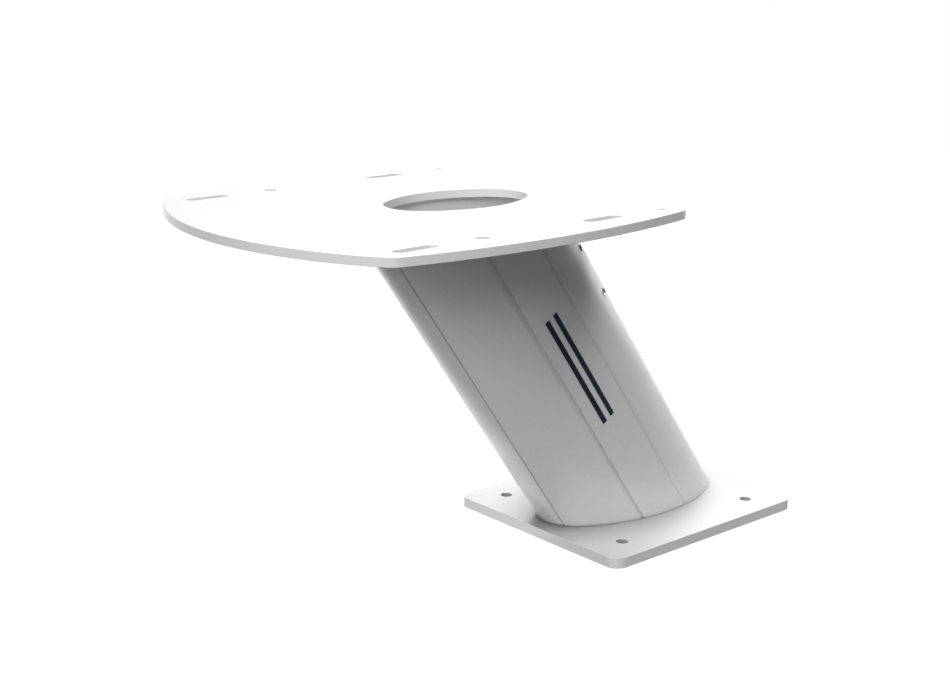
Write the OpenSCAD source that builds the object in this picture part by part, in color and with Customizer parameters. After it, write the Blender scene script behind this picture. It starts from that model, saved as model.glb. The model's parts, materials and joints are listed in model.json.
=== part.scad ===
// Raked mounting tower that carries a small radar dome above a deck, arch or mast bracket.
// Three aluminium parts are welded together: base plate, hollow grooved column and platform.
// Millimetres. +Z is up, +X is the way the column leans, +Y is to the port side.
// The origin is the centre of the base plate's underside.

/* [Tower] */
// Height from the base plate's upper face to the platform's underside
rise = 254; // [180:1:400]
// Lean of the column away from upright, in degrees
rake = 35; // [30:0.5:40]

/* [Base plate] */
// Length of the base plate along X
base_l = 200; // [195:1:240]
// Width of the base plate along Y
base_w = 178; // [170:1:220]
// Thickness of the base plate
base_t = 8; // [6:0.5:12]
// Radius of the base plate's corners
base_corner_r = 10; // [6:1:20]
// Distance between the base bolt holes along X
base_bolts_x = 140; // [130:1:160]
// Distance between the base bolt holes along Y
base_bolts_y = 130; // [125:1:150]

/* [Column] */
// Width of the extrusion from nose to tail, square to its length
column_l = 142; // [136:1:150]
// Width of the extrusion from side to side
column_w = 90; // [86:0.5:94]
// Thickness of the extrusion's wall
column_wall = 4; // [3.5:0.25:5]
// Depth of the grooves that run along the column
groove_depth = 1; // [0.5:0.1:1.5]
// Half width of the flat-looking panel between the two side grooves
panel_half_w = 19; // [15:0.5:22]
// Width of the sloping floor of each side groove
side_groove_w = 4.6; // [3:0.2:6]
// Width of the V grooves beside the nose and the tail
end_groove_w = 2; // [1.4:0.1:3]
// Angle of the V grooves away from the nose or tail centre line, in degrees
end_groove_angle = 28.5; // [24:0.5:34]

/* [Platform] */
// Thickness of the platform
platform_t = 6; // [5:0.5:10]
// Distance from the column's top centre to the front edge of the platform
platform_front = 192; // [186:1:198]
// Distance from the column's top centre to the rear edge of the platform
platform_rear = 118; // [114:1:122]
// Width of the platform at its widest
platform_w = 288; // [284:1:292]
// Radius of the front edge's curve
front_edge_r = 232; // [220:1:260]
// Radius of the curve of both side edges
side_edge_r = 550; // [500:5:600]
// Radius of the rear edge's curve
rear_edge_r = 400; // [360:5:450]
// Radius of the two front corners
front_corner_r = 14; // [10:1:20]
// Radius of the two rear corners
rear_corner_r = 15; // [10:1:20]

/* [Holes in the platform] */
// Distance between the radar bolt slots along X, centre to centre
slots_x = 154; // [150:1:158]
// Distance between the radar bolt slots along Y
slots_y = 233; // [230:1:236]
// Length of each slot from end to end
slot_l = 32; // [28:1:36]
// Diameter of the bolt holes and width of the slots, for M8 bolts
bolt_hole_d = 9; // [8.4:0.1:9.5]
// Distance between the two small rear holes along Y
rear_holes_y = 236; // [230:1:238]
// Diameter of the two small rear holes
rear_hole_d = 5; // [4:0.5:6]

/* [Cable way] */
// Length along X of the oval cable holes in both plates
cable_hole_l = 113; // [100:1:120]
// Width along Y of the oval cable holes in both plates
cable_hole_w = 74; // [66:1:75]
// Leg length of the weld beads inside the column
weld_leg = 2.6; // [2:0.1:3]

/* [Rivet nuts] */
// Distance from the platform to the upper rivet nuts, along the column
nut_drop = 45; // [40:1:60]
// Distance between the upper and lower rivet nuts, along the column
nut_pitch = 44; // [30:1:60]
// Direction that the rivet nuts face, in degrees away from straight aft
nut_angle = 51; // [45:0.5:53]
// Outer diameter of each rivet nut's body
nut_body_d = 9; // [8.5:0.1:10]
// Tapping diameter of the M6 thread
nut_bore_d = 5; // [5:0.05:5.2]
// Length of each rivet nut's body
nut_l = 13; // [10:0.5:16]

/* [Side stripes] */
// Length of the coloured stripes on each side panel
stripe_l = 105; // [80:1:120]
// Width of each coloured stripe
stripe_w = 4; // [2:0.1:5]
// Distance between the centre lines of the two stripes
stripe_gap = 8.5; // [6:0.5:9]
// Height above the base plate, along the column, of the middle of the stripes
stripe_mid = 165; // [140:1:180]
// How far the pair of stripes sits toward the nose from the middle of the panel
stripe_shift = 3; // [0:0.5:6]

/* [Hidden] */
$fn = 180;

overlap = 1;
powder_white = [0.93, 0.93, 0.92];
weld_grey = [0.72, 0.73, 0.74];
nut_grey = [0.6, 0.61, 0.63];
stripe_navy = [0.08, 0.13, 0.24];

// Where the column meets the platform
lean = rise * tan(rake);
platform_z = base_t + rise;
// The extrusion overshoots both plates by this much before its ends are mitred
mitre_reach = column_l;
column_span = rise / cos(rake) + 2 * mitre_reach;

// Arcs of the extrusion's oval outline
end_centre = oval_end_centre(column_l / 2, column_w / 2);
column_end_r = column_l / 2 - end_centre;
side_centre = oval_side_centre(column_l / 2, column_w / 2);
side_arc_r = column_w / 2 + side_centre;

// Middle of the radar slots, and of the extra holes, from the column's top centre
slots_mid = 49;
extra_holes_x = 74;
rear_holes_x = -82;
cable_hole_x = -2;
widest_x = 29;

// A corner's disc is this much larger than its arc, so that it crosses the edges it joins
corner_blend = 0.004;

// The rivet nuts are the flush kind, so their faces are level with the column's skin
nut_line_x = -(end_centre + column_end_r * cos(nut_angle));
nut_top = (rise + nut_line_x * sin(rake)) / cos(rake) - nut_drop;

stripe_t = 0.2;

// An oval's four arcs meet smoothly because their centres make a triangle with sides 3, 4 and 5.
// Distance from the oval's middle to the centre of each end arc, along its length
function oval_end_centre(long_r, short_r) = 1.5 * (long_r - short_r);

// Distance from the oval's middle to the centre of each side arc, across it
function oval_side_centre(long_r, short_r) = 2 * (long_r - short_r);

// The point on the +Y side where two circles cross
function circles_cross(p, p_r, q, q_r) =
    let (
        gap = norm(q - p),
        along = (q - p) / gap,
        across = [-along[1], along[0]],
        near = (p_r * p_r - q_r * q_r + gap * gap) / (2 * gap),
        off = sqrt(p_r * p_r - near * near),
        left = p + near * along + off * across,
        right = p + near * along - off * across
    )
    left[1] > right[1] ? left : right;

// A point on the extrusion's +Y side, at a distance along the skin and a height above it
function on_side(along, height) =
    let (turn = along / side_arc_r * 180 / PI)
    [(side_arc_r + height) * sin(turn), (side_arc_r + height) * cos(turn) - side_centre];

// Oval made of four true arcs: two side arcs cross, and each pointed tip is trimmed to an end arc
module oval(long_r, short_r) {
    end_x = oval_end_centre(long_r, short_r);
    end_r = long_r - end_x;
    side_y = oval_side_centre(long_r, short_r);
    side_r = short_r + side_y;
    join_x = end_x + end_r * 3 / 5;
    difference() {
        intersection() {
            translate([0, side_y])
                circle(side_r);
            translate([0, -side_y])
                circle(side_r);
        }
        both_ends()
            difference() {
                translate([join_x, -side_r])
                    square(2 * side_r);
                translate([end_x, 0])
                    circle(end_r);
            }
    }
}

// Oval that follows the extrusion's outer surface at an even distance outside it
module column_oval(outside) {
    oval(column_l / 2 + outside, column_w / 2 + outside);
}

// Copies its children onto both sides of the centre plane
module both_sides() {
    children();
    mirror([0, 1, 0])
        children();
}

// Copies its children onto the nose and the tail of the section
module both_ends() {
    children();
    mirror([1, 0, 0])
        children();
}

// Stands its children on the base plate and leans them with the column
module along_column() {
    translate([0, 0, base_t])
        rotate([0, rake, 0])
            children();
}

// A level slice through the leaning extrusion, from one height to another
module level_slice(low, high) {
    intersection() {
        along_column()
            translate([0, 0, -mitre_reach])
                linear_extrude(column_span)
                    children();
        translate([-column_l, -column_w, low])
            cube([lean + 2 * column_l, 2 * column_w, high - low]);
    }
}

// Groove beside a side panel: a steep wall at the panel and a gently sloping floor
module side_groove() {
    polygon([
        on_side(panel_half_w, overlap),
        on_side(panel_half_w, -groove_depth),
        on_side(panel_half_w + side_groove_w / 6, -groove_depth),
        on_side(panel_half_w + side_groove_w, 0),
        on_side(panel_half_w + side_groove_w, overlap)
    ]);
}

// V groove beside the nose
module end_groove() {
    half_turn = atan(end_groove_w / 2 / column_end_r);
    outside = column_end_r + overlap;
    translate([end_centre, 0])
        rotate(end_groove_angle)
            polygon([
                [column_end_r - groove_depth, 0],
                [outside * cos(half_turn), outside * sin(half_turn)],
                [outside * cos(half_turn), -outside * sin(half_turn)]
            ]);
}

module column_section() {
    difference() {
        column_oval(0);
        column_oval(-column_wall);
        both_sides()
            both_ends() {
                side_groove();
                end_groove();
            }
    }
}

// Puts its children on each rivet nut's axis, with +Z pointing out of the column
module each_nut() {
    along_column()
        both_sides()
            for (step = [0, 1])
                translate([-end_centre, 0, nut_top - step * nut_pitch])
                    rotate([0, 0, 180 - nut_angle])
                        rotate([0, 90, 0])
                            children();
}

module cable_oval() {
    oval(cable_hole_l / 2, cable_hole_w / 2);
}

module slot(length, width) {
    square([length - width, width], center = true);
    both_ends()
        translate([(length - width) / 2, 0])
            circle(d = width);
}

// What a rounded corner takes away: a wedge between its two tangent points, less the corner's disc
module corner_waste(centre, p, q, r) {
    reach = 4 * r;
    difference() {
        polygon([
            centre,
            centre + reach * (centre - p) / norm(centre - p),
            centre + reach * (centre - q) / norm(centre - q)
        ]);
        translate(centre)
            circle(r + corner_blend);
    }
}

module platform_outline() {
    side_p = [widest_x, platform_w / 2 - side_edge_r];
    front_p = [platform_front - front_edge_r, 0];
    rear_p = [rear_edge_r - platform_rear, 0];
    front_c = circles_cross(front_p, front_edge_r - front_corner_r, side_p, side_edge_r - front_corner_r);
    rear_c = circles_cross(rear_p, rear_edge_r - rear_corner_r, side_p, side_edge_r - rear_corner_r);
    difference() {
        intersection() {
            translate(front_p)
                circle(front_edge_r);
            translate(rear_p)
                circle(rear_edge_r);
            translate(side_p)
                circle(side_edge_r);
            mirror([0, 1])
                translate(side_p)
                    circle(side_edge_r);
        }
        both_sides() {
            corner_waste(front_c, front_p, side_p, front_corner_r);
            corner_waste(rear_c, rear_p, side_p, rear_corner_r);
        }
    }
}

module base_outline() {
    corner = [base_l / 2 - base_corner_r, base_w / 2 - base_corner_r];
    difference() {
        square([base_l, base_w], center = true);
        both_sides()
            both_ends()
                difference() {
                    translate(corner)
                        square(2 * base_corner_r);
                    translate(corner)
                        circle(base_corner_r);
                }
    }
}

module base_plate() {
    color(powder_white)
        linear_extrude(base_t)
            difference() {
                base_outline();
                cable_oval();
                both_sides()
                    both_ends()
                        translate([base_bolts_x / 2, base_bolts_y / 2])
                            circle(d = bolt_hole_d);
            }
}

module column() {
    color(powder_white)
        difference() {
            level_slice(base_t, platform_z)
                column_section();
            each_nut()
                translate([0, 0, column_end_r - 2 * column_wall])
                    cylinder(h = 3 * column_wall, d = nut_body_d);
        }
}

module platform() {
    color(powder_white)
        translate([lean, 0, platform_z])
            linear_extrude(platform_t)
                difference() {
                    platform_outline();
                    translate([cable_hole_x, 0])
                        cable_oval();
                    both_sides() {
                        for (end = [-1, 1])
                            translate([slots_mid + end * slots_x / 2, slots_y / 2])
                                slot(slot_l, bolt_hole_d);
                        translate([extra_holes_x, slots_y / 2])
                            circle(d = bolt_hole_d);
                        translate([rear_holes_x, rear_holes_y / 2])
                            circle(d = rear_hole_d);
                    }
                }
}

// Ring between the inside of the column and the toe of a weld bead
module weld_ring() {
    difference() {
        column_oval(-column_wall);
        column_oval(-column_wall - weld_leg);
    }
}

module base_weld() {
    color(weld_grey)
        level_slice(base_t, base_t + weld_leg)
            weld_ring();
}

module platform_weld() {
    color(weld_grey)
        level_slice(platform_z - weld_leg, platform_z)
            weld_ring();
}

module rivet_nuts() {
    color(nut_grey)
        each_nut()
            translate([0, 0, column_end_r - nut_l])
                difference() {
                    cylinder(h = nut_l, d = nut_body_d);
                    translate([0, 0, -overlap])
                        cylinder(h = nut_l + 2 * overlap, d = nut_bore_d);
                }
}

module side_stripes() {
    color(stripe_navy)
        along_column()
            translate([0, 0, stripe_mid - stripe_l / 2])
                linear_extrude(stripe_l)
                    both_sides()
                        for (side = [-1, 1])
                            intersection() {
                                difference() {
                                    column_oval(stripe_t);
                                    column_oval(0);
                                }
                                translate([stripe_shift + side * stripe_gap / 2, column_w / 2])
                                    square([stripe_w, column_w / 2], center = true);
                            }
}

base_plate();
column();
platform();
base_weld();
platform_weld();
rivet_nuts();
side_stripes();
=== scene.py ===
import json
import math

import bmesh
import bpy
import numpy as np
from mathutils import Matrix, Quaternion, Vector


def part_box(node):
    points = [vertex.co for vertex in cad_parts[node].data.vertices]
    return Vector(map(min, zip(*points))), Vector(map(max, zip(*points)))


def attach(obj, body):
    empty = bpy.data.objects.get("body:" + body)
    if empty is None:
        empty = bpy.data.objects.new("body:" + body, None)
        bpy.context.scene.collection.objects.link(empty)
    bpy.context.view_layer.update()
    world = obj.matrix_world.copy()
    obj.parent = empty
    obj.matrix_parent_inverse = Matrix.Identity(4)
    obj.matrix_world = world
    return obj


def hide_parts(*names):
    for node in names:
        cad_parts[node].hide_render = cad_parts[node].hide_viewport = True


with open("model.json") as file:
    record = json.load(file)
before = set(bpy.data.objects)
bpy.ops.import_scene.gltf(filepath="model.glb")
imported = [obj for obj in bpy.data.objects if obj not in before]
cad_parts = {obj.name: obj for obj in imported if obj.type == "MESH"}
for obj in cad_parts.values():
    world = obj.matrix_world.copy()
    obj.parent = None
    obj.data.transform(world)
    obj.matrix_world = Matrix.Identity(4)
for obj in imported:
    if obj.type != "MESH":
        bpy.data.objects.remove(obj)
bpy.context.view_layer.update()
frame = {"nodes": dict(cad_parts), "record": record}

MM = 0.001
scene = bpy.context.scene

# ---- sizes read from the frame ----

column_low, column_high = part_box("column")
base_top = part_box("base_plate")[1].z
platform_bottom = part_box("platform")[0].z
weld_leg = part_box("base_weld")[1].z - base_top

# The column leans toward +X, so its box reaches further that way than the other by the lean
lean = column_high.x + column_low.x
rise = column_high.z - column_low.z
rake = math.atan2(lean, rise)
section_long = -column_low.x * math.cos(rake)
section_short = column_high.y
COLUMN_WALL = 4 * MM

nut_mounts = [m for m in frame["record"]["mounts"] if m["name"].startswith("nut_")]


# ---- shader helpers ----

def new_material(name):
    """A node material with an empty tree, and its output node."""
    material = bpy.data.materials.new(name)
    material.use_nodes = True
    tree = material.node_tree
    tree.nodes.clear()
    output = tree.nodes.new("ShaderNodeOutputMaterial")
    return material, tree, output


def node(tree, kind, **values):
    """Adds a node. Each keyword sets the input of that name, or else the node's own property."""
    made = tree.nodes.new(kind)
    for key, value in values.items():
        label = key.replace("_", " ")
        if label in made.inputs:
            made.inputs[label].default_value = value
        else:
            setattr(made, key, value)
    return made


def noise(tree, wavelength, detail=2.0, stretch=(1, 1, 1)):
    """Noise in object space with features about one wavelength apart; returns its value socket."""
    place = node(tree, "ShaderNodeTexCoord")
    mapping = node(tree, "ShaderNodeMapping", Scale=stretch)
    tree.links.new(place.outputs["Object"], mapping.inputs["Vector"])
    texture = node(tree, "ShaderNodeTexNoise", Scale=1 / wavelength, Detail=detail)
    tree.links.new(mapping.outputs["Vector"], texture.inputs["Vector"])
    return texture.outputs["Fac"]


def spread(tree, value, low, high, start=0.3, end=0.7):
    """Maps a socket's range from start to end onto low to high."""
    ranged = node(tree, "ShaderNodeMapRange", From_Min=start, From_Max=end, To_Min=low, To_Max=high)
    tree.links.new(value, ranged.inputs["Value"])
    return ranged.outputs["Result"]


def bump(tree, height, distance, below=None):
    """Bump by a height socket, in metres, on top of an earlier bump if one is given."""
    made = node(tree, "ShaderNodeBump", Distance=distance)
    tree.links.new(height, made.inputs["Height"])
    if below:
        tree.links.new(below, made.inputs["Normal"])
    return made.outputs["Normal"]


def edge_mask(tree, radius):
    """Near 1 within about a radius of a sharp edge, and 0 on open faces."""
    rounded = node(tree, "ShaderNodeBevel", Radius=radius, samples=4)
    plain = node(tree, "ShaderNodeNewGeometry")
    facing = node(tree, "ShaderNodeVectorMath", operation="DOT_PRODUCT")
    tree.links.new(rounded.outputs["Normal"], facing.inputs[0])
    tree.links.new(plain.outputs["Normal"], facing.inputs[1])
    return spread(tree, facing.outputs["Value"], low=1, high=0, start=0.75, end=0.98)


def mix_shaders(tree, factor, first, second):
    """Shader node that goes from the first to the second; factor is a number or a socket."""
    made = node(tree, "ShaderNodeMixShader")
    if isinstance(factor, float):
        made.inputs[0].default_value = factor
    else:
        tree.links.new(factor, made.inputs[0])
    tree.links.new(first.outputs[0], made.inputs[1])
    tree.links.new(second.outputs[0], made.inputs[2])
    return made


def mix_colour(tree, factor, first, second):
    """Colour socket that goes from the first colour to the second as the factor socket rises."""
    made = node(tree, "ShaderNodeMix", data_type="RGBA")
    tree.links.new(factor, made.inputs["Factor"])
    ends = [socket for socket in made.inputs if socket.type == "RGBA"]
    ends[0].default_value = first
    ends[1].default_value = second
    return next(socket for socket in made.outputs if socket.type == "RGBA")


# ---- materials ----

COAT_WHITE = (0.78, 0.78, 0.785, 1)
COAT_ON_EDGES = (0.70, 0.70, 0.705, 1)
PLATING_DARK = (0.6, 0.6, 0.61, 1)
PLATING_LIGHT = (0.75, 0.75, 0.75, 1)
INK_DARK = (0.012, 0.021, 0.037, 1)
INK_LIGHT = (0.02, 0.032, 0.052, 1)


def shade_colour(tree, colour, shade):
    """A colour socket darkened by a shade socket."""
    made = node(tree, "ShaderNodeVectorMath", operation="SCALE")
    tree.links.new(colour, made.inputs["Vector"])
    tree.links.new(shade, made.inputs["Scale"])
    return made.outputs["Vector"]


def powder_coat(name, peel, painted_shade_reach, painted_shade_tone=0.4):
    """White satin powder coat: orange peel, uneven gloss and a thinner coat on edges.

    Painted shade darkens inside corners, grooves and holes within the reach given, down to the tone
    given.
    """
    material, tree, output = new_material(name)
    link = tree.links.new
    shader = node(tree, "ShaderNodeBsdfPrincipled", Coat_Weight=0.6, Coat_Roughness=0.22)
    colour = mix_colour(tree, edge_mask(tree, radius=0.8 * MM), COAT_WHITE, COAT_ON_EDGES)
    # Painted shade: ambient occlusion darkens the coat's colour in corners, grooves and holes
    corner = node(tree, "ShaderNodeAmbientOcclusion", Distance=painted_shade_reach, samples=6)
    shade = spread(tree, corner.outputs["AO"], low=painted_shade_tone, high=1, start=0.15, end=0.95)
    mottle = spread(tree, noise(tree, wavelength=1.3 * MM, detail=3), low=0.96, high=1.03)
    colour = shade_colour(tree, shade_colour(tree, colour, shade), mottle)
    link(colour, shader.inputs["Base Color"])
    gloss = spread(tree, noise(tree, wavelength=18 * MM), low=0.38, high=0.5)
    link(gloss, shader.inputs["Roughness"])
    grain = bump(tree, noise(tree, wavelength=0.45 * MM), distance=0.12 * peel)
    waves = noise(tree, wavelength=2.4 * MM, detail=1)
    link(bump(tree, waves, distance=peel, below=grain), shader.inputs["Normal"])
    link(shader.outputs["BSDF"], output.inputs["Surface"])
    return material


def insert_metal():
    """Plated steel of the rivet nuts, blotchy and finely scuffed, with uneven gloss."""
    material, tree, output = new_material("insert_metal")
    link = tree.links.new
    shader = node(tree, "ShaderNodeBsdfPrincipled", Metallic=1.0)
    tone = mix_colour(tree, noise(tree, wavelength=1.5 * MM), PLATING_DARK, PLATING_LIGHT)
    link(tone, shader.inputs["Base Color"])
    gloss = spread(tree, noise(tree, wavelength=0.6 * MM), low=0.3, high=0.5)
    link(gloss, shader.inputs["Roughness"])
    scuffs = noise(tree, wavelength=0.25 * MM, detail=4)
    link(bump(tree, scuffs, distance=0.01 * MM), shader.inputs["Normal"])
    link(shader.outputs["BSDF"], output.inputs["Surface"])
    return material


def stripe_film():
    """Navy marking film: satin face with a faint lengthwise drag in the ink."""
    material, tree, output = new_material("stripe_film")
    link = tree.links.new
    shader = node(tree, "ShaderNodeBsdfPrincipled", Coat_Weight=0.3, Coat_Roughness=0.3)
    drag = noise(tree, wavelength=1.2 * MM, detail=3, stretch=(1, 1, 0.15))
    link(mix_colour(tree, drag, INK_DARK, INK_LIGHT), shader.inputs["Base Color"])
    gloss = spread(tree, noise(tree, wavelength=0.8 * MM), low=0.4, high=0.55)
    link(gloss, shader.inputs["Roughness"])
    skin = noise(tree, wavelength=0.5 * MM)
    link(bump(tree, skin, distance=0.006 * MM), shader.inputs["Normal"])
    link(shader.outputs["BSDF"], output.inputs["Surface"])
    return material


# ---- CAD nodes: bevelled edges and materials ----

MERGE_DISTANCE = 0.002 * MM
FLAT_WITHIN = math.radians(0.5)
SHARP_FROM = math.radians(30)


def finish_node(name, material, bevel, crease=None):
    """Merges a CAD node's triangles, softens its edges and gives it a material.

    Where a crease angle is given, sharper creases stay crisp, and short edges don't limit the bevel.
    """
    obj = frame["nodes"][name]
    obj.data.materials.clear()
    obj.data.materials.append(material)
    obj.data.polygons.foreach_set("use_smooth", [True] * len(obj.data.polygons))
    weld = obj.modifiers.new("weld", "WELD")
    weld.merge_threshold = MERGE_DISTANCE
    flat = obj.modifiers.new("flat_faces", "DECIMATE")
    flat.decimate_type = "DISSOLVE"
    flat.angle_limit = FLAT_WITHIN
    edges = obj.modifiers.new("soft_edges", "BEVEL")
    edges.width = bevel
    edges.segments = 3
    edges.limit_method = "ANGLE"
    edges.angle_limit = SHARP_FROM
    edges.use_clamp_overlap = crease is None
    if crease:
        crisp = obj.modifiers.new("crisp_creases", "EDGE_SPLIT")
        crisp.split_angle = crease
    else:
        obj.modifiers.new("even_shading", "WEIGHTED_NORMAL")


PEEL = 0.03 * MM
WELD_PEEL = 0.02 * MM

# Painted shade darkens this coat within 2.5 mm of corners: the column's grooves and foot, and the
# platform's holes and slots
coat = powder_coat("powder_coat_white", PEEL, painted_shade_reach=2.5 * MM)
# The base plate lies in the column's soft shade, so its painted shade reaches much further and darkens
# its top round the column's foot like a cast shadow
base_coat_painted_shade = powder_coat("powder_coat_base_painted_shade", PEEL, painted_shade_reach=40 * MM, painted_shade_tone=0.2)
finish_node("base_plate", base_coat_painted_shade, bevel=0.4 * MM)
finish_node("platform", coat, bevel=0.4 * MM)
finish_node("column", coat, bevel=0.2 * MM, crease=math.radians(11))
finish_node("side_stripes", stripe_film(), bevel=0.05 * MM)


# ---- pieces built here ----

def mesh_piece(name, points, faces, material, stands_for):
    """A smooth-shaded piece that rides on the one body and stands for a CAD node."""
    mesh = bpy.data.meshes.new(name)
    shape = bmesh.new()
    corners = [shape.verts.new(p) for p in points]
    for face in faces:
        shape.faces.new([corners[i] for i in face]).smooth = True
    bmesh.ops.recalc_face_normals(shape, faces=shape.faces)
    shape.to_mesh(mesh)
    shape.free()
    mesh.materials.append(material)
    piece = bpy.data.objects.new(name, mesh)
    scene.collection.objects.link(piece)
    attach(piece, "root")
    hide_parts(stands_for)
    return piece


def tube_faces(rings, per_ring, first=0):
    """Quads between neighbouring rings of points, with the last ring joined to the first."""
    faces = []
    for i in range(rings):
        here = first + i * per_ring
        there = first + (i + 1) % rings * per_ring
        for j in range(per_ring):
            k = (j + 1) % per_ring
            faces.append((here + j, here + k, there + k, there + j))
    return faces


ARC_STEPS = 400
# Centres of the oval's end and side arcs, in parts of its long radius less its short one
END_CENTRE = 1.5
SIDE_CENTRE = 2


def level_oval(inset, count):
    """Even points round the column's outline, set in by inset, where a plate cuts it level.

    Returns their x and y and the outline's length. The oval is two end arcs and two side arcs that
    meet on the lines through their centres, and the rake stretches the cut along X.
    """
    long_r, short_r = section_long - inset, section_short - inset
    end_x = END_CENTRE * (long_r - short_r)
    side_y = SIDE_CENTRE * (long_r - short_r)
    join = math.atan2(SIDE_CENTRE, END_CENTRE)
    angles = np.linspace(0, math.pi / 2, ARC_STEPS)
    at_end = angles < join
    end_r, side_r = long_r - end_x, short_r + side_y
    x = np.where(at_end, end_x + end_r * np.cos(angles), side_r * np.cos(angles)) / math.cos(rake)
    y = np.where(at_end, end_r * np.sin(angles), side_r * np.sin(angles) - side_y)
    x = np.concatenate([x, -x[-2::-1], -x[1:], x[-2:0:-1]])
    y = np.concatenate([y, y[-2::-1], -y[1:], -y[-2:0:-1]])
    x, y = np.append(x, x[0]), np.append(y, y[0])
    walked = np.append(0, np.cumsum(np.hypot(np.diff(x), np.diff(y))))
    even = np.linspace(0, walked[-1], count, endpoint=False)
    return np.interp(even, walked, x), np.interp(even, walked, y), walked[-1]


BEAD_STEPS = 8
RIPPLE_PITCH = 1.7 * MM
RIPPLE_STEPS = 6
# How far a crescent's middle lags behind its ends, in ripples
CRESCENT_LAG = 0.45
# Depths of the ripples and of the slow swell, in parts of the bead's leg
RIPPLE_DEPTH = 0.16
SWELL_DEPTH = 0.04
SWELL_COUNT = 5


def weld_bead(name, stands_for, centre, up, material):
    """A rippled bead in the corner between the column's inside and a plate.

    up is 1 for a bead on top of the plate and -1 for one below it.
    """
    length = level_oval(COLUMN_WALL, ARC_STEPS)[2]
    ripples = round(length / RIPPLE_PITCH)
    count = ripples * RIPPLE_STEPS
    x, y, _ = level_oval(COLUMN_WALL, count)
    along_x, along_y = np.roll(x, -1) - np.roll(x, 1), np.roll(y, -1) - np.roll(y, 1)
    size = np.hypot(along_x, along_y)
    in_x, in_y = -along_y / size, along_x / size
    points = []
    for i in range(count):
        root = centre + Vector((x[i], y[i], 0))
        inward = Vector((in_x[i], in_y[i], 0))
        points.append(root)
        for j in range(BEAD_STEPS + 1):
            turn = j / BEAD_STEPS * math.pi / 2
            # Each ripple is a crescent, furthest behind in the middle of the bead
            phase = i / RIPPLE_STEPS + CRESCENT_LAG * math.sin(2 * turn)
            ripple = RIPPLE_DEPTH * math.sin(2 * turn) * (0.5 + 0.5 * math.cos(2 * math.pi * phase))
            swell = SWELL_DEPTH * math.sin(2 * math.pi * SWELL_COUNT * i / count) - SWELL_DEPTH
            leg = weld_leg * (1 - ripple + swell)
            height = up * leg * math.cos(turn)
            slant = Vector((height * math.tan(rake), 0, height))
            points.append(root + inward * leg * math.sin(turn) + slant)
    faces = tube_faces(count, BEAD_STEPS + 2)
    return mesh_piece(name, points, faces, material, stands_for)


# The beads' coat gets painted shade within 3 mm of the corners they sit in
coated_weld = powder_coat("coated_weld", WELD_PEEL, painted_shade_reach=3 * MM)
weld_bead("base_weld_bead", "base_weld", Vector((0, 0, base_top)), 1, coated_weld)
weld_bead("platform_weld_bead", "platform_weld", Vector((lean, 0, platform_bottom)), -1, coated_weld)

THREAD_PITCH = 1 * MM
THREAD_DEPTH = 0.45 * MM
THREAD_STEPS = 8
THREAD_START = 0.8 * MM
# Length without thread, both ends of the nut together
THREAD_FREE = 2 * MM
NUT_SIDES = 48
NUT_BODY_R = 4.5 * MM
NUT_RIM = 0.25 * MM
MOUTH_FLARE = 0.55 * MM
MOUTH_DEPTH = 0.1 * MM


def rivet_nut_rings(bore_r, length):
    """Outline of a rivet nut from its back rim, over the face and down the threaded bore.

    Each entry is a radius, a depth below the face and how much thread is cut there.
    """
    mouth = bore_r + MOUTH_FLARE
    rings = [
        (NUT_BODY_R - NUT_RIM, length, 0),
        (NUT_BODY_R, length - NUT_RIM, 0),
        (NUT_BODY_R, NUT_RIM, 0),
        (NUT_BODY_R - NUT_RIM, 0, 0),
        (mouth + NUT_RIM, 0, 0),
        (mouth, MOUTH_DEPTH, 0),
    ]
    turns = int((length - THREAD_FREE) / THREAD_PITCH)
    for i in range(turns * THREAD_STEPS + 1):
        depth = THREAD_START + i * THREAD_PITCH / THREAD_STEPS
        rings.append((bore_r, depth, 1))
    rings.append((mouth, length, 0))
    return rings


def rivet_nuts(material):
    """All rivet nuts as one piece, each flush with the column's skin and open right through."""
    points, faces = [], []
    for mount in nut_mounts:
        outward = Vector(mount["axis"]).normalized()
        length = mount["dims"]["length_mm"] * MM
        face = Vector(mount["pos_m"]) + outward * length / 2
        turn = outward.to_track_quat("Z", "Y")
        rings = rivet_nut_rings(mount["dims"]["r_mm"] * MM, length)
        first = len(points)
        for radius, depth, thread in rings:
            for j in range(NUT_SIDES):
                angle = 2 * math.pi * j / NUT_SIDES
                place = (depth / THREAD_PITCH + j / NUT_SIDES) % 1
                r = radius + thread * THREAD_DEPTH * (1 - abs(2 * place - 1))
                points.append(face + turn @ Vector((r * math.cos(angle), r * math.sin(angle), -depth)))
        faces += tube_faces(len(rings), NUT_SIDES, first)
    return mesh_piece("rivet_nut_set", points, faces, material, "rivet_nuts")


rivet_nuts(insert_metal())


# ---- floor, light and camera ----

# The middle of the photo's view, which the lights and the floor are placed around
TARGET = Vector((0.1589, 0, 0.1574))
CAMERA_AZIMUTH = 139.604
LIGHT_DISTANCE = 2.5
FLOOR_RADIUS = 2.4
FLOOR_LEVEL = -0.2 * MM

# How bright the floor is to the camera, as light on the object, as light on its foot and in reflections
FLOOR_SEEN = 1.06
FLOOR_GLOW = 0.17
FOOT_GLOW = 0.28
SWEEP_GLOW = 1.5
# How much of what the camera sees of the floor is real light and shade
LIT_SHARE = 0.1
# The foot's glow fades between these distances from the middle of the base plate
FOOT_REACH = 0.12
FADE_REACH = 0.22
# How bright the sky is as light on the object
SKY_GLOW = 0.05


def view_direction(azimuth, elevation):
    """Unit vector from the object toward a viewer; azimuth 0 looks along +Y and 90 along -X."""
    a, e = math.radians(azimuth), math.radians(elevation)
    return Vector((math.sin(a) * math.cos(e), -math.cos(a) * math.cos(e), math.sin(e)))


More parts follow.
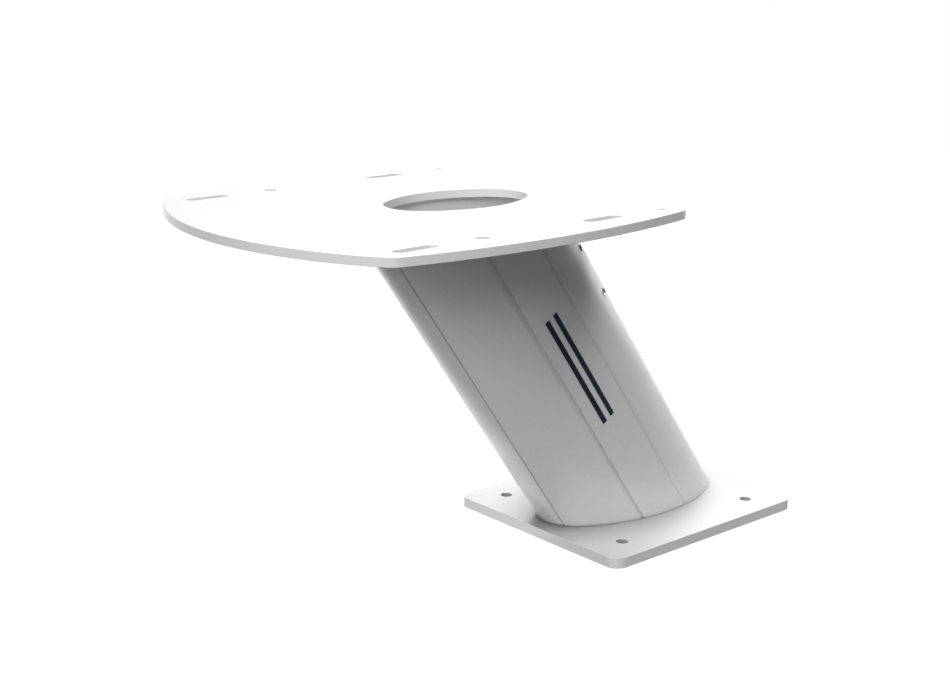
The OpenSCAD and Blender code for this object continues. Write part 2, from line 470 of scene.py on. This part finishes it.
def behind_object(tree, outward, highest):
    """Rises from 0 to its highest value as a direction socket turns away from the camera."""
    away = -view_direction(CAMERA_AZIMUTH, 0)
    level = node(tree, "ShaderNodeVectorMath", operation="MULTIPLY")
    level.inputs[1].default_value = (1, 1, 0)
    even = node(tree, "ShaderNodeVectorMath", operation="NORMALIZE")
    facing = node(tree, "ShaderNodeVectorMath", operation="DOT_PRODUCT")
    facing.inputs[1].default_value = away
    tree.links.new(outward, level.inputs[0])
    tree.links.new(level.outputs["Vector"], even.inputs[0])
    tree.links.new(even.outputs["Vector"], facing.inputs[0])
    return spread(tree, facing.outputs["Value"], low=0, high=highest, start=0.2, end=0.85)


def studio_floor():
    """Pale round floor. The camera sees it nearly evenly lit, and it throws little light back up.

    Reflections see it white behind the object and dark in front, like a sweep in a dim room. From
    below the camera looks through it.
    """
    mesh = bpy.data.meshes.new("studio_floor")
    shape = bmesh.new()
    bmesh.ops.create_circle(shape, cap_ends=True, segments=128, radius=FLOOR_RADIUS)
    shape.to_mesh(mesh)
    shape.free()
    floor = bpy.data.objects.new("studio_floor", mesh)
    floor.location = (TARGET.x, TARGET.y, FLOOR_LEVEL)
    floor.visible_shadow = False
    scene.collection.objects.link(floor)
    material, tree, output = new_material("pale_floor")
    white = (1, 1, 1, 1)
    glow_white = node(tree, "ShaderNodeEmission", Color=white, Strength=FLOOR_SEEN)
    lit_white = node(tree, "ShaderNodeBsdfDiffuse", Color=white)
    seen = mix_shaders(tree, LIT_SHARE, glow_white, lit_white)
    clear = node(tree, "ShaderNodeBsdfTransparent")
    below = node(tree, "ShaderNodeNewGeometry").outputs["Backfacing"]
    thrown = node(tree, "ShaderNodeEmission", Color=white)
    mirrored = node(tree, "ShaderNodeEmission", Color=white)
    place = node(tree, "ShaderNodeTexCoord").outputs["Object"]
    tree.links.new(behind_object(tree, place, SWEEP_GLOW), mirrored.inputs["Strength"])
    away = node(tree, "ShaderNodeVectorMath", operation="DISTANCE")
    away.inputs[1].default_value = (-TARGET.x, -TARGET.y, 0)
    tree.links.new(place, away.inputs[0])
    distance = away.outputs["Value"]
    nearby = spread(tree, distance, FOOT_GLOW, FLOOR_GLOW, start=FOOT_REACH, end=FADE_REACH)
    tree.links.new(nearby, thrown.inputs["Strength"])
    rays = node(tree, "ShaderNodeLightPath")
    unseen = mix_shaders(tree, rays.outputs["Is Glossy Ray"], thrown, mirrored)
    shown = mix_shaders(tree, below, seen, clear)
    surface = mix_shaders(tree, rays.outputs["Is Camera Ray"], unseen, shown)
    tree.links.new(surface.outputs[0], output.inputs["Surface"])
    mesh.materials.append(material)


def soft_light(name, azimuth, elevation, half_angle, brightness):
    """A round soft light aimed at the object, as wide as half_angle either side seen from there."""
    direction = view_direction(azimuth, elevation)
    data = bpy.data.lights.new(name, "AREA")
    data.shape = "DISK"
    radius = LIGHT_DISTANCE * math.tan(math.radians(half_angle))
    data.size = 2 * radius
    data.energy = brightness * math.pi * math.pi * radius ** 2
    lamp = bpy.data.objects.new(name, data)
    lamp.location = TARGET + LIGHT_DISTANCE * direction
    lamp.rotation_mode = "QUATERNION"
    lamp.rotation_quaternion = direction.to_track_quat("Z", "Y")
    scene.collection.objects.link(lamp)


def camera_at(azimuth, elevation, distance, lens, roll):
    """Camera that looks at the target, turned about its own axis by roll."""
    back = view_direction(azimuth, elevation)
    data = bpy.data.cameras.new("camera")
    data.lens = lens
    data.sensor_width = 36
    data.clip_start = 0.01
    cam = bpy.data.objects.new("camera", data)
    cam.location = TARGET + distance * back
    cam.rotation_mode = "QUATERNION"
    tilt = Quaternion((0, 0, 1), math.radians(roll))
    cam.rotation_quaternion = (-back).to_track_quat("-Z", "Y") @ tilt
    scene.collection.objects.link(cam)
    scene.camera = cam


# The photo's viewpoint, solved from the outlines and holes of both plates
camera_at(CAMERA_AZIMUTH, elevation=15.078, distance=1.1305, lens=59.9, roll=0.1)
studio_floor()
soft_light("overhead", azimuth=353, elevation=65, half_angle=24.5, brightness=1.2)
soft_light("top", azimuth=0, elevation=88, half_angle=20, brightness=1.6)
soft_light("back_top", azimuth=320, elevation=40, half_angle=18, brightness=6.3)
soft_light("front_key", azimuth=130, elevation=32, half_angle=14, brightness=6.8)
soft_light("left_key", azimuth=110, elevation=18, half_angle=11.7, brightness=6.0)
soft_light("left_low", azimuth=77, elevation=4, half_angle=14.8, brightness=0.9)
soft_light("right_top", azimuth=200, elevation=65, half_angle=14, brightness=6.2)
soft_light("right_rim", azimuth=283, elevation=6, half_angle=13.4, brightness=2.0)


def studio_world():
    """White behind the object; only a little of it lights the object."""
    world = bpy.data.worlds.new("studio")
    scene.world = world
    world.use_nodes = True
    tree = world.node_tree
    tree.nodes.clear()
    output = node(tree, "ShaderNodeOutputWorld")
    rays = node(tree, "ShaderNodeLightPath")
    sky = node(tree, "ShaderNodeBackground", Color=(1, 1, 1, 1))
    strength = spread(tree, rays.outputs["Is Camera Ray"], low=SKY_GLOW, high=1, start=0, end=1)
    tree.links.new(strength, sky.inputs["Strength"])
    tree.links.new(sky.outputs["Background"], output.inputs["Surface"])


studio_world()
scene.view_settings.view_transform = "Standard"
